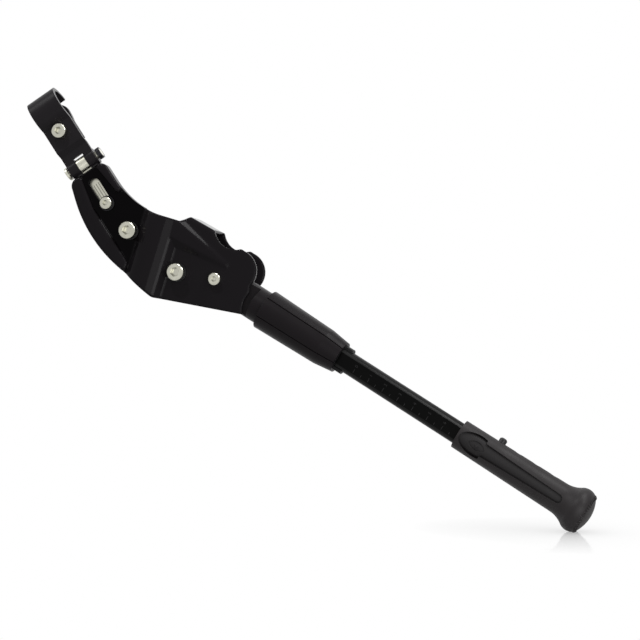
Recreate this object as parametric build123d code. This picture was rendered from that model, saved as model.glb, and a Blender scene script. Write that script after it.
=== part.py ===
"""Bicycle kickstand: pressed clamp bracket, swivelling seatstay hook and folding leg with sliding foot."""

from build123d import *
import math
import os

# Frame in millimetres: X rearward along the chainstay, Y inboard, Z up.
# The origin lies on the chainstay's axis, midway between the two clamp bolts.

# Sheet metal and general fits
sheet = 2.0
seat_gap = 0.05
run_gap = 0.3
pin_gap = 0.04
hole_gap = 0.3
far = 150.0

# Metric screws: shank, head and nut sizes
m6 = dict(shank=6.0, head=10.0, head_height=6.0, socket=5.0, nut=10.0, nut_height=5.0, washer=11.0)
m5 = dict(shank=5.0, head=8.5, head_height=5.0, socket=4.0, nut=8.0, nut_height=4.0)
m4 = dict(shank=4.0, head=7.2, head_height=3.6, socket=3.0, nut=7.0, nut_height=3.2, washer=9.0)
socket_depth_share = 0.6
head_chamfer = 0.4
washer_thickness = 1.0
screw_tail = 1.0

# Chainstay clamp
stay_radius = 11.0
pad_thickness = 2.0
pad_half_angle = 56.0
pad_length = 26.0
bolt_x = 7.6
bolt_z = 17.4
flat_height = 9.3
jaw_flat = 7.0
jaw_end_radius = 7.5
jaw_travel = 6.0

# Outline of the bracket's outer plate, seen from outboard
arm_angle = 50.0
slot_x = 19.2
slot_z = 35.2
slot_length = 14.0
slot_width = 6.4
tray_half_width = 12.0
tray_top = 22.8
tray_low_z = 12.5
tray_flange_depth = 5.5
channel_top_front = 4.4
channel_top_rear = 5.8
channel_half_width = 8.4
channel_flare = 2.0
channel_rear_lean = 20.0
press_radius = 2.5
raised_height = 2.4
raised_corner = 2.0
raised_round = 1.8
plate_rear = 21.7
plate_front_low_x = -20.0
plate_front_low_z = -61.7
plate_front_high_x = -26.0
plate_front_high_z = -7.5
front_bulge_along = -11.0
front_bulge_across = 22.0
front_bulge_radius = 84.0
rear_sweep_radius = 52.0
corner_radius = 5.0
small_corner = 1.0

# Folded rear web, inner ear, front flange that stops the leg, and the pressed gusset
web_top_x = 25.8
web_top_z = -15.5
web_low_x = 22.3
web_low_z = -31.2
fork_gap = 26.0
fold_radius = 1.8
ear_front_x = -17.0
ear_top_z = -29.0
flange_low_z = -51.7
flange_high_z = -14.0
flange_depth = 15.0
gusset_top_z = -5.0
gusset_top = [(6.7, 0.0), (12.0, 4.0), (23.2, 4.2), (27.3, 0.0)]
gusset_tip_z = -45.0
gusset_tip = [(2.6, 0.0), (4.0, 0.4), (5.0, 0.4), (6.4, 0.0)]

# Leg pivot, and the round lobe and two seats of the plate's edge around it
pivot_x = -4.9
pivot_z = -40.1
pivot_tube_radius = 4.0
detent_flat = 3.4
lobe_reach = 25.6
lobe_radius = 12.5
lobe_angle = -51.0
deployed_seat_reach = 21.3
deployed_seat_radius = 14.0
folded_seat_reach = 19.5
folded_seat_radius = 12.6
horn_reach = 24.3
horn_angle = -34.0
horn_radius = 2.0

# Sliding arm and hinge pin, along the arm from the slot's lower centre
slider_thickness = 2.5
slider_half_width = 7.0
slider_low = -9.0
slider_shoulder = 17.0
slider_groove = 0.5
hinge_along = 28.5
hinge_height = 5.5
hinge_radius = 2.5
eye_radius = 4.6
eye_half_width = 3.0
pin_half_length = 10.3
pin_head_radius = 4.0
pin_head_height = 1.6
cap_radius = 3.6
cap_height = 2.6

# Seatstay clamp
strap_sheet = 2.5
strap_half_width = 9.3
strap_joggle = 41.0
strap_joggle_run = 3.0
strap_screw_along = 51.0
knuckle_proud = 1.5
seatstay_radius = 9.5
seatstay_along = 65.3
seatstay_height = 4.0
hook_start_angle = -42.0
hook_end_angle = 150.0
back_jaw_half_width = 7.5
back_jaw_low = 44.0
back_jaw_start_angle = -125.0
back_jaw_end_angle = -165.0
back_jaw_tail = 72.0
back_jaw_travel = 4.0

# Leg
leg_lean = 14.6
leg_splay = 8.0
fold_angle = 99.0
leg_mid_y = 1.5
knuckle_inboard = 8.5
knuckle_boss_radius = 8.0
collar_start = 27.4
collar_radius = 10.2
panel_start = 34.5
panel_waist = 76.0
panel_end = 88.0
panel_radius = 12.2
panel_waist_radius = 11.1
panel_end_radius = 9.5
panel_count = 6
panel_turn = -6.0
panel_groove_depth = 0.9
panel_groove_angle = 2.4
tube_radius = 6.4
tube_flat = 5.3
tube_wall = 1.6
tube_start = 42.0
bush_start = 79.0
bush_end = 93.0
bush_radius = 8.0
bush_window = 3.0
grub_at = 60.0
grub_radius = 2.5
spring_radius = 4.4
spring_wire = 1.2
plunger_length = 11.0
seat_thickness = 2.0

# Foot and its lock button, with heights above the sole and depths below the foot's top
sole_reach = 254.4
foot_length = 84.9
foot_top_radius = 8.6
waist_radius = 9.0
waist_height = 20.4
flare_radius = 11.4
flare_height = 12.4
bulb_radius = 13.0
bulb_height = 7.9
rim_radius = 11.2
rim_height = 3.2
foot_gap = 0.15
foot_travel = 34.0
recess_radius = 7.4
scoop_depth = 12.5
scoop_half_length = 11.2
scoop_half_width = 6.3
rail_depth = 16.5
rail_round = 0.7
recess_half_width = 4.2
recess_tip_radius = 2.6
recess_tip_height = 20.0
lens_half_length = 5.2
lens_half_width = 2.5
lens_depth = 0.7
nub_radius = 0.9
button_depth = 22.5
button_turn = -15.0
button_base_radius = 3.2
button_base_top = 5.3
button_base_height = 2.2
button_radius = 2.3
button_end = 11.4
button_chamfer = 0.7
keyhole_count = 4
tube_below_button = 16.0
leaf_thickness = 0.5
leaf_half_width = 2.0

side = Plane(origin=(0, 0, 0), x_dir=(1, 0, 0), z_dir=(0, -1, 0))
arm = Location((slot_x, slot_z, 0), (0, 0, arm_angle))
deployed_angle = -90.0 - leg_lean
folded_angle = deployed_angle + fold_angle
arch_inner = stay_radius + pad_thickness
arch_outer = arch_inner + sheet
bolt_places = [(bolt_x, bolt_z), (-bolt_x, -bolt_z)]
under_plate = flat_height - sheet
ear_height = under_plate - fork_gap
slider_top = under_plate - run_gap
slider_bottom = slider_top - slider_thickness
jaw_back = jaw_flat + sheet
knuckle_radius = hinge_radius + pin_gap + strap_sheet
strap_top = hinge_height + knuckle_radius - knuckle_proud
strap_face = strap_top + strap_sheet
hook_outer = seatstay_radius + strap_sheet
back_inner = seatstay_radius + run_gap
back_outer = back_inner + strap_sheet
back_jaw_front = seatstay_height + back_inner * math.cos(math.radians(back_jaw_start_angle))
back_jaw_back = back_jaw_front - strap_sheet

lean = math.radians(leg_lean)
splay = math.radians(leg_splay)
leg_down = Vector(-math.sin(lean) * math.cos(splay), -math.sin(splay), -math.cos(lean) * math.cos(splay))
leg = Plane(
    origin=(pivot_x, leg_mid_y, pivot_z),
    x_dir=(math.cos(lean), 0, -math.sin(lean)),
    z_dir=tuple(leg_down),
)
foot_top = sole_reach - foot_length
button_at = foot_top + button_depth
tube_end = button_at + tube_below_button
knuckle_top = under_plate - run_gap
nose_radius = spring_radius - spring_wire
plunger_start = (pivot_tube_radius + pin_gap) / math.cos(splay) + nose_radius * math.tan(splay) + seat_gap
plunger_end = plunger_start + plunger_length


def around_pivot(reach, angle):
    """Point at a reach and angle from the leg's pivot, in the side view."""
    turn = math.radians(angle)
    return (pivot_x + reach * math.cos(turn), pivot_z + reach * math.sin(turn))


def arm_point(along, across):
    """Side-view point given along and across the clamp arm, from the slot's lower centre."""
    turn = math.radians(arm_angle)
    x = slot_x + along * math.cos(turn) - across * math.sin(turn)
    z = slot_z + along * math.sin(turn) + across * math.cos(turn)
    return (x, z)


def front_edge_point(z):
    """Point of the outer plate's straight front edge at a height."""
    share = (z - plate_front_low_z) / (plate_front_high_z - plate_front_low_z)
    return (plate_front_low_x + share * (plate_front_high_x - plate_front_low_x), z)


def slab(sketch, low, high):
    """Sketch in the side view made solid between two outboard heights."""
    return Pos(0, 0, low) * extrude(sketch, amount=high - low)


def strip(start, end, thickness):
    """Straight band along a plate edge, with its thickness to the left of the run."""
    near, tip = Vector(*start), Vector(*end)
    run = tip - near
    inward = Vector(-run.Y, run.X).normalized() * thickness
    return make_face(Polyline(near, tip, tip + inward, near + inward, close=True))


def stay_bar(radius):
    """Round bar along the chainstay, longer than the bracket."""
    return Rot(0, 90, 0) * Cylinder(radius, far)


def cap_screw(size, length):
    """Socket cap screw along +Z with its head on the XY plane."""
    head = slab(Circle(size["head"] / 2), 0, size["head_height"])
    head = chamfer(head.edges().group_by(Axis.Z)[-1], head_chamfer)
    socket = RegularPolygon(size["socket"] / 2, 6, major_radius=False)
    depth = socket_depth_share * size["head_height"]
    head -= slab(socket, size["head_height"] - depth, size["head_height"])
    return head + slab(Circle(size["shank"] / 2), -length, 0)


def hex_nut(size):
    """Hexagon nut hanging from the XY plane."""
    bore = Circle(size["shank"] / 2 + pin_gap)
    return slab(RegularPolygon(size["nut"] / 2, 6, major_radius=False) - bore, -size["nut_height"], 0)


def washer(size):
    """Flat washer standing on the XY plane."""
    ring = Circle(size["washer"] / 2) - Circle(size["shank"] / 2 + hole_gap)
    return slab(ring, 0, washer_thickness)


def plate_outline():
    """Outer plate's edge, with the lobe between the leg's two seats and a round horn beside the folded one."""
    rear_top = arm_point(tray_top, -tray_half_width)
    rear_bend_z = rear_top[1] + (plate_rear - rear_top[0]) * math.tan(math.radians(arm_angle))
    horn = around_pivot(horn_reach, horn_angle)
    corners = [
        arm_point(tray_top, tray_half_width),
        rear_top,
        (plate_rear, rear_bend_z),
        (plate_rear, web_top_z + corner_radius),
        (web_top_x, web_top_z),
        (web_low_x, web_low_z),
        horn,
        (pivot_x, plate_front_low_z),
        (plate_front_low_x, plate_front_low_z),
        (plate_front_high_x, plate_front_high_z),
        arm_point(front_bulge_along, front_bulge_across),
    ]
    radii = [corner_radius, corner_radius, rear_sweep_radius, small_corner, small_corner]
    radii += [small_corner, 0, 0, small_corner, corner_radius, front_bulge_radius]
    lobe = Pos(*around_pivot(lobe_reach - lobe_radius, lobe_angle)) * Circle(lobe_radius)
    deployed = around_pivot(deployed_seat_reach + deployed_seat_radius, deployed_angle)
    folded = around_pivot(folded_seat_reach + folded_seat_radius, folded_angle)
    outline = make_face(FilletPolyline(*corners, radius=radii, close=True)) + lobe
    outline -= Pos(*deployed) * Circle(deployed_seat_radius)
    outline -= Pos(*folded) * Circle(folded_seat_radius)
    seat_ends = outline.vertices().sort_by_distance(folded)[:2]
    return fillet(seat_ends.sort_by(Axis.Y)[0], horn_radius)


def tray_zone():
    """Side-view half plane above the arch."""
    return Pos(0, tray_low_z + far) * Rectangle(2 * far, 2 * far)


def tray_bands(outline):
    """Outlines of the two raised bands beside the slot's channel, with rounded corners."""
    channel = [
        (tray_top, channel_top_front),
        (channel_flare, channel_half_width),
        (-far, channel_half_width),
        (-far, -channel_half_width - (far + channel_flare) * math.tan(math.radians(channel_rear_lean))),
        (channel_flare, -channel_half_width),
        (tray_top, -channel_top_rear),
    ]
    bands = (outline & tray_zone()) - arm * make_face(Polyline(*channel, close=True))
    return [offset(offset(band, -raised_corner), raised_corner) for band in bands.faces()]


def raised_band(band):
    """One band, pressed up from the tray with a round upper edge."""
    solid = slab(band, under_plate, flat_height + raised_height)
    return fillet(solid.edges().group_by(Axis.Z)[-1], raised_round)


def tray_flanges(outline):
    """Edges folded back along the tray, open at its top where the sliding arm comes out."""
    mouth = arm * (Pos(tray_top, 0) * Rectangle(4 * corner_radius, 2 * (slider_half_width + run_gap)))
    fold = ((outline - offset(outline, -sheet)) & tray_zone()) - mouth
    return slab(fold, flat_height - tray_flange_depth, flat_height)


def pressed_arch():
    """Flat sheet that rises over the chainstay, with pressed radii where the arch begins."""
    flat = Pos(0, (under_plate + flat_height) / 2) * Rectangle(2 * far, sheet)
    section = flat + (Circle(arch_outer) & Pos(0, under_plate + far / 2) * Rectangle(far, far))
    feet = [v for v in section.vertices() if abs(v.X) < arch_outer and abs(v.Y - flat_height) < run_gap]
    return extrude(Plane.YZ * fillet(feet, press_radius), amount=far, both=True)


def pressed_gusset():
    """Sloping gusset that runs from the arch down to a point beside the pivot."""
    sections = []
    for z, corners in ((gusset_top_z, gusset_top), (gusset_tip_z, gusset_tip)):
        across = Plane(origin=(0, z, flat_height), x_dir=(1, 0, 0), z_dir=(0, -1, 0))
        sections.append(across * make_face(Polyline(*corners, close=True)))
    return loft(sections, ruled=True)


def inner_ear(outline):
    """Inboard ear of the fork, with the outer plate's lobe and seats."""
    zone = [
        (far, web_top_z),
        (web_top_x, web_top_z),
        (ear_front_x, ear_top_z),
        (ear_front_x, -far),
        (far, -far),
    ]
    return outline & make_face(Polyline(*zone, close=True))


def bracket_plate():
    """One pressing: outer plate with tray, arch and gusset, folded round a rear web into an inner ear."""
    outline = plate_outline()
    plate = (pressed_arch() & slab(outline, under_plate, far)) + tray_flanges(outline)
    for band in tray_bands(outline):
        plate += raised_band(band)
        plate -= slab(offset(band, -sheet), under_plate, under_plate + raised_height)
    gusset = pressed_gusset() & slab(outline, 0, far)
    plate += gusset
    plate -= Pos(0, 0, -sheet) * gusset
    web = strip((web_low_x, web_low_z), (web_top_x, web_top_z), sheet)
    plate += slab(web, ear_height - sheet, flat_height)
    plate += slab(inner_ear(outline), ear_height - sheet, ear_height)
    flange = strip(front_edge_point(flange_high_z), front_edge_point(flange_low_z), sheet)
    plate += slab(flange, flat_height - flange_depth, flat_height)
    plate -= stay_bar(arch_inner)
    for x, z in bolt_places:
        plate -= slab(Pos(x, z) * Circle(m6["shank"] / 2 + hole_gap), -far, far)
        plate -= slab(Pos(x, z) * Circle(m6["washer"] / 2 + run_gap), flat_height, far)
    plate -= slab(Pos(pivot_x, pivot_z) * Circle(m4["shank"] / 2 + pin_gap), -far, far)
    slot = Pos(slot_length / 2, 0) * SlotCenterToCenter(slot_length, slot_width)
    plate -= arm * slab(slot, 0, far)
    middle = ((web_low_x + web_top_x) / 2, (web_low_z + web_top_z) / 2)
    folds = [plate.edges().sort_by_distance((*middle, h))[0] for h in (flat_height, ear_height - sheet)]
    return fillet(folds, fold_radius)


def pad():
    """Rubber liner over the outboard side of the chainstay."""
    reach = 2 * arch_inner
    spread = math.radians(pad_half_angle)
    wedge_edge = (reach * math.sin(spread), reach * math.cos(spread))
    wedge = make_face(Polyline((0, 0), wedge_edge, (-wedge_edge[0], wedge_edge[1]), close=True))
    ring = Circle(arch_inner - seat_gap) - Circle(stay_radius)
    return extrude(Plane.YZ * (ring & wedge), amount=pad_length / 2, both=True)


def clamp_jaw():
    """Counter plate behind the chainstay, arched like the bracket."""
    middle = Rectangle(pad_length, 2 * arch_outer)
    ends = [Pos(x, z) * Circle(jaw_end_radius) for x, z in bolt_places]
    outline = make_hull((middle + ends).edges())
    jaw = slab(outline, -jaw_back, -jaw_flat) + (stay_bar(arch_outer) & slab(outline, -far, -jaw_flat))
    jaw -= stay_bar(arch_inner)
    for x, z in bolt_places:
        jaw -= slab(Pos(x, z) * Circle(m6["shank"] / 2 + hole_gap), -far, far)
    return jaw


def clamp_bolts():
    seat = flat_height + washer_thickness
    length = seat + jaw_back + m6["nut_height"] + jaw_travel + screw_tail
    return [Pos(x, z, seat) * cap_screw(m6, length) for x, z in bolt_places]


def clamp_washers():
    return [Pos(x, z, flat_height) * washer(m6) for x, z in bolt_places]


def clamp_nuts():
    return [Pos(x, z, -jaw_back) * hex_nut(m6) for x, z in bolt_places]


def pivot_screw():
    length = flat_height - ear_height + sheet + m4["nut_height"] + screw_tail
    return Pos(pivot_x, pivot_z, flat_height) * cap_screw(m4, length)


def pivot_tube():
    """Axle tube between the ears, with a detent flat for each end of the fold."""
    section = Circle(pivot_tube_radius) - Circle(m4["shank"] / 2 + pin_gap)
    for angle in (deployed_angle, folded_angle):
        section -= Rot(0, 0, angle) * Pos(detent_flat + far / 2, 0) * Rectangle(far, far)
    return Pos(pivot_x, pivot_z) * slab(section, ear_height, under_plate)


def pivot_nut():
    return Pos(pivot_x, pivot_z, ear_height - sheet) * hex_nut(m4)


def slider_arm():
    """Plated strip behind the slot, with lengthwise grooves and an eye for the hinge pin."""
    run = slider_shoulder - slider_low
    wide = Pos(slider_low + run / 2, 0) * RectangleRounded(run, 2 * slider_half_width, eye_half_width - run_gap)
    neck_run = hinge_along - slider_shoulder + slider_half_width
    neck = Pos(hinge_along - neck_run / 2, 0) * Rectangle(neck_run, 2 * eye_half_width)
    arm_strip = slab(wide + neck, slider_bottom, slider_top)
    eye = Pos(hinge_along, 0, hinge_height) * Rot(90, 0, 0) * Cylinder(eye_radius, 2 * eye_half_width)
    arm_strip += eye
    bore = Pos(hinge_along, 0, hinge_height) * Rot(90, 0, 0) * Cylinder(hinge_radius + pin_gap, far)
    arm_strip -= bore
    for row in (-1, 0, 1):
        groove = Pos(slot_length / 2, row * slot_width / 4) * Rectangle(slot_length, slider_groove)
        arm_strip -= slab(groove, slider_top - slider_groove, slider_top)
    arm_strip -= slab(Circle(m4["shank"] / 2 + pin_gap), -far, far)
    return arm * arm_strip


def slot_screw():
    seat = flat_height + seat_gap + washer_thickness
    length = seat - slider_bottom + m4["nut_height"] + screw_tail
    return arm * Pos(0, 0, seat) * cap_screw(m4, length)


def slot_washer():
    return arm * Pos(0, 0, flat_height + seat_gap) * washer(m4)


def slot_nut():
    return arm * Pos(0, 0, slider_bottom) * hex_nut(m4)


def hinge_pin():
    axis = Pos(hinge_along, 0, hinge_height) * Rot(-90, 0, 0)
    length = 2 * pin_half_length + cap_height
    shank = Pos(0, 0, -pin_half_length - cap_height) * extrude(Circle(hinge_radius), amount=length)
    head = Pos(0, 0, pin_half_length) * extrude(Circle(pin_head_radius), amount=pin_head_height)
    return arm * axis * (shank + chamfer(head.edges().group_by(Axis.Z)[-1], head_chamfer))


def hinge_cap():
    axis = Pos(hinge_along, 0, hinge_height) * Rot(-90, 0, 0)
    ring = Circle(cap_radius) - Circle(hinge_radius + pin_gap)
    return arm * axis * Pos(0, 0, -pin_half_length - cap_height) * extrude(ring, amount=cap_height)


def stay_arc(radius, start_angle, end_angle):
    """Arc round the seatstay in the arm's long section, angles from outboard over the top."""
    return CenterArc((seatstay_along, seatstay_height), radius, 90 - start_angle, start_angle - end_angle)


def bend_point(radius, start_angle, height):
    """Point at a height where a flat meets the tangent of an arc round the seatstay."""
    turn = math.radians(start_angle)
    rise = seatstay_height + radius * math.cos(turn) - height
    return (seatstay_along + radius * math.sin(turn) + rise / math.tan(turn), height)


def hook_strap():
    """Front jaw: knuckles on the pin, a joggle, a flat for the screw and the hook over the seatstay."""
    outer = stay_arc(hook_outer, hook_start_angle, hook_end_angle)
    inner = stay_arc(seatstay_radius, hook_start_angle, hook_end_angle)
    run = [
        inner @ 0,
        bend_point(seatstay_radius, hook_start_angle, strap_top),
        (strap_joggle, strap_top),
        (strap_joggle - strap_joggle_run, strap_top - strap_sheet),
        (hinge_along, strap_top - strap_sheet),
        (hinge_along, strap_top),
        (strap_joggle - strap_joggle_run, strap_top),
        (strap_joggle, strap_face),
        bend_point(hook_outer, hook_start_angle, strap_face),
        outer @ 0,
    ]
    section = make_face([outer, Line(outer @ 1, inner @ 1), inner, Polyline(*run)])
    strap = side * extrude(section, amount=strap_half_width, both=True)
    pin_line = Pos(hinge_along, 0, hinge_height) * Rot(90, 0, 0)
    strap += pin_line * Cylinder(knuckle_radius, 2 * strap_half_width)
    strap -= pin_line * Cylinder(hinge_radius + pin_gap, far)
    notch_end = hinge_along + knuckle_radius + run_gap
    notch = Pos(notch_end - far / 2, 0) * Rectangle(far, 2 * (eye_half_width + run_gap))
    strap -= slab(notch, -far, far)
    strap -= slab(Pos(strap_screw_along, 0) * Circle(m5["shank"] / 2 + pin_gap), 0, far)
    return arm * strap


def strap_screw():
    length = strap_face - back_jaw_back + m5["nut_height"] + back_jaw_travel + screw_tail
    return arm * Pos(strap_screw_along, 0, strap_face) * cap_screw(m5, length)


def back_jaw():
    """Jaw behind the seatstay, drawn up by the strap's screw, with a straight tail and a round end."""
    outer = stay_arc(back_outer, back_jaw_start_angle, back_jaw_end_angle)
    inner = stay_arc(back_inner, back_jaw_start_angle, back_jaw_end_angle)
    tail = Vector(inner % 1) * (back_jaw_tail - seatstay_along) * 2
    flat = [
        inner @ 0,
        (back_jaw_low, back_jaw_front),
        (back_jaw_low, back_jaw_back),
        bend_point(back_outer, back_jaw_start_angle, back_jaw_back),
        outer @ 0,
    ]
    end = Polyline(outer @ 1, outer @ 1 + tail, inner @ 1 + tail, inner @ 1)
    section = make_face([outer, end, inner, Polyline(*flat)])
    jaw = side * extrude(section, amount=back_jaw_half_width, both=True)
    round_end = back_jaw_tail - back_jaw_half_width
    plan = Pos(round_end - far / 2, 0) * Rectangle(far, 2 * back_jaw_half_width)
    plan += Pos(round_end, 0) * Circle(back_jaw_half_width)
    jaw &= slab(plan, -far, far)
    jaw -= slab(Pos(strap_screw_along, 0) * Circle(m5["shank"] / 2 + hole_gap), -far, far)
    return arm * jaw


def strap_nut():
    return arm * Pos(strap_screw_along, 0, back_jaw_back) * hex_nut(m5)


def panel_groove(stations, turn):
    """One of the V grooves that part the sleeve's panels, along all its stations."""
    sections = []
    for z, radius in stations:
        half_width = radius * math.tan(math.radians(panel_groove_angle))
        outside = radius + run_gap
        corners = [(radius - panel_groove_depth, 0), (outside, half_width), (outside, -half_width)]
        sections.append(Pos(0, 0, z) * Rot(0, 0, turn) * make_face(Polyline(*corners, close=True)))
    return loft(sections, ruled=True)


def panelled_sleeve():
    """Tapered round sleeve with a groove between each two panels."""
    stations = [(panel_start, panel_radius), (panel_waist, panel_waist_radius), (panel_end, panel_end_radius)]
    edge = [(radius, z) for z, radius in stations]
    profile = make_face(Polyline((0, panel_start), *edge, (0, panel_end), close=True))
    sleeve = revolve(Plane.XZ * profile, Axis.Z)
    for k in range(panel_count):
        sleeve -= panel_groove(stations, panel_turn + 90 + (k + 0.5) * 360 / panel_count)
    return sleeve


def tube_section(grow=0.0):
    """Tube's outline: round with two flats, outboard and inboard."""
    return Circle(tube_radius + grow) & Rectangle(far, 2 * (tube_flat + grow))


def leg_head():
    """Cast head: round bar milled flat at the knuckle, a boss on its inboard side, and the panelled sleeve."""
    head = slab(Circle(collar_radius), -collar_radius, panel_start) + panelled_sleeve()
    head = side.to_local_coords(leg * head)
    above_collar = side.to_local_coords(leg * (Pos(0, 0, collar_start - far) * Box(far, far, 2 * far)))
    round_top = Pos(pivot_x, pivot_z) * Circle(collar_radius)
    keep = round_top + strip(around_pivot(0, 0), around_pivot(far, deployed_angle), collar_radius)
    keep += strip(around_pivot(far, deployed_angle), around_pivot(0, 0), collar_radius)
    knuckle = (head & above_collar) & slab(keep, -knuckle_inboard, knuckle_top)
    head = (head - above_collar) + knuckle
    boss = Pos(pivot_x, pivot_z) * Circle(knuckle_boss_radius)
    head += slab(boss, ear_height + run_gap, -knuckle_inboard)
    head -= slab(Pos(pivot_x, pivot_z) * Circle(pivot_tube_radius + pin_gap), -far, far)
    head = leg.to_local_coords(side * head)
    head -= slab(Circle(spring_radius + run_gap), 0, tube_start)
    head -= slab(Circle(tube_radius + seat_gap), tube_start - seat_thickness, panel_end)
    head -= slab(Circle(bush_radius + seat_gap), bush_start, panel_end)
    head -= Pos(0, -far / 2, grub_at) * Rot(90, 0, 0) * Cylinder(grub_radius + pin_gap, far)
    return leg * head


def leg_tube():
    """Hollow tube with flats, a hole for the button and one for the grub screw."""
    bore = Circle(tube_radius - tube_wall)
    tube = slab(tube_section() - bore, tube_start, tube_end)
    tube -= button_axis() * extrude(Circle(button_base_radius + pin_gap), amount=far)
    tube -= Pos(0, -far / 2, grub_at) * Rot(90, 0, 0) * Cylinder(grub_radius + pin_gap, far)
    return leg * tube


def guide_bush():
    """Bush round the tube in the sleeve's mouth, open outboard where it stands out."""
    bush = slab(Circle(bush_radius) - tube_section(seat_gap), bush_start, bush_end)
    bush -= Pos(0, bush_window + far / 2, panel_end + far / 2) * Box(far, far, far)
    return leg * bush


def grub_screw():
    """Grub screw that fixes the tube, flush with the sleeve's inboard side."""
    reach = panel_waist_radius
    tip = tube_radius - tube_wall
    return leg * Pos(0, -tip, grub_at) * Rot(90, 0, 0) * extrude(Circle(grub_radius), amount=reach - tip)


def detent_plunger():
    """Plunger that the spring presses onto the axle's flats, drawn at the top of its lift."""
    body = slab(Circle(spring_radius), plunger_start, plunger_end)
    return leg * chamfer(body.edges().group_by(Axis.Z)[0], spring_wire)


def detent_spring():
    """Close-wound spring between the plunger and its seat, drawn as the sleeve that its turns fill."""
    coil = Circle(spring_radius) - Circle(spring_radius - spring_wire)
    return leg * slab(coil, plunger_end, tube_start - seat_thickness)


def spring_seat():
    return leg * slab(Circle(tube_radius), tube_start - seat_thickness, tube_start)


def button_axis():
    """Button's axis, rearward and a little inboard, in the leg's frame."""
    return Pos(0, 0, button_at) * Rot(0, 0, button_turn) * Rot(0, 90, 0)


def lock_button():
    """Stepped button: a base behind the foot's wall and a domed stem through its slot."""
    base = slab(Circle(button_base_radius), button_base_top - button_base_height, button_base_top)
    stem = slab(Circle(button_radius), button_base_top, button_end)
    stem = chamfer(stem.edges().group_by(Axis.Z)[-1], button_chamfer)
    return leg * button_axis() * (base + stem)


def button_spring():
    """Bent leaf inside the tube, pressing the button outward."""
    rest = button_base_top - button_base_height - leaf_thickness
    wall = -(tube_radius - tube_wall) + 2 * leaf_thickness
    half = button_base_radius
    points = [(rest, -half), (rest, half), (0, 4 * half), (wall, 2 * half), (wall, -2 * half)]
    leaf = extrude(trace(Polyline(*points), leaf_thickness), amount=leaf_half_width, both=True)
    turn = Pos(0, 0, button_at) * Rot(0, 0, button_turn)
    return leg * turn * (Plane(origin=(0, 0, 0), x_dir=(1, 0, 0), z_dir=(0, -1, 0)) * leaf)


def foot_body():
    """Turned shape of the foot: slim shaft, flare, round bulb and domed sole."""
    crown = (0, sole_reach)
    rim = (rim_radius, sole_reach - rim_height)
    bulb = (bulb_radius, sole_reach - bulb_height)
    flare = (flare_radius, sole_reach - flare_height)
    waist = (waist_radius, sole_reach - waist_height)
    outline = [
        Polyline(crown, (0, foot_top), (foot_top_radius, foot_top), waist),
        TangentArc(waist, flare, tangent=(0, 1)),
        ThreePointArc(flare, bulb, rim),
        TangentArc(crown, rim, tangent=(1, 0)),
    ]
    return revolve(Plane.XZ * make_face(outline), Axis.Z)


def front_recess():
    """Outline of the front recess: an oval scoop at the top that runs out in a tapering panel."""
    middle, rails = foot_top + scoop_depth, foot_top + rail_depth
    tip = sole_reach - recess_tip_height
    scoop = Pos(0, middle) * Ellipse(scoop_half_width, scoop_half_length)
    scoop &= Pos(0, rails - far / 2) * Rectangle(far, far)
    taper = [
        (-recess_half_width, middle),
        (recess_half_width, middle),
        (recess_tip_radius, tip),
        (-recess_tip_radius, tip),
    ]
    recess = scoop + make_face(Polyline(*taper, close=True)) + Pos(0, tip) * Circle(recess_tip_radius)
    shoulders = [v for v in recess.vertices() if abs(v.Y - rails) < run_gap]
    return fillet(shoulders, rail_round)


def lens():
    """Pointed oval round a small nub, in the middle of the scoop."""
    radius = (lens_half_length**2 + lens_half_width**2) / (2 * lens_half_width)
    shift = radius - lens_half_width
    oval = Pos(shift, 0) * Circle(radius) & Pos(-shift, 0) * Circle(radius)
    return Pos(0, foot_top + scoop_depth) * (oval - Circle(nub_radius))


def button_slot():
    """Row of keyholes for the button's base, joined by a slot for its stem, down from the button."""
    slot = Rot(0, 0, 90) * SlotCenterToCenter(foot_travel, 2 * (button_radius + run_gap))
    keyholes = Pos(0, foot_travel / 2) * slot
    for k in range(keyhole_count):
        keyholes += Pos(0, k * foot_travel / (keyhole_count - 1)) * Circle(button_base_radius + run_gap)
    return keyholes


def foot():
    """Moulded foot: round sole, slim shaft over the tube, front recess with its eye, and the button's slot."""
    body = foot_body() - slab(tube_section(foot_gap), foot_top, tube_end + foot_travel + run_gap)
    front = Plane(origin=(0, 0, 0), x_dir=(-1, 0, 0), z_dir=(0, 1, 0))
    body -= front * extrude(front_recess(), amount=far) - slab(Circle(recess_radius), 0, sole_reach)
    body -= front * extrude(lens(), amount=far) - slab(Circle(recess_radius - lens_depth), 0, sole_reach)
    slot_side = Plane(origin=(0, 0, button_at), x_dir=(0, 1, 0), z_dir=(1, 0, 0))
    body -= Rot(0, 0, button_turn) * (slot_side * extrude(button_slot(), amount=far))
    return leg * body


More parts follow.
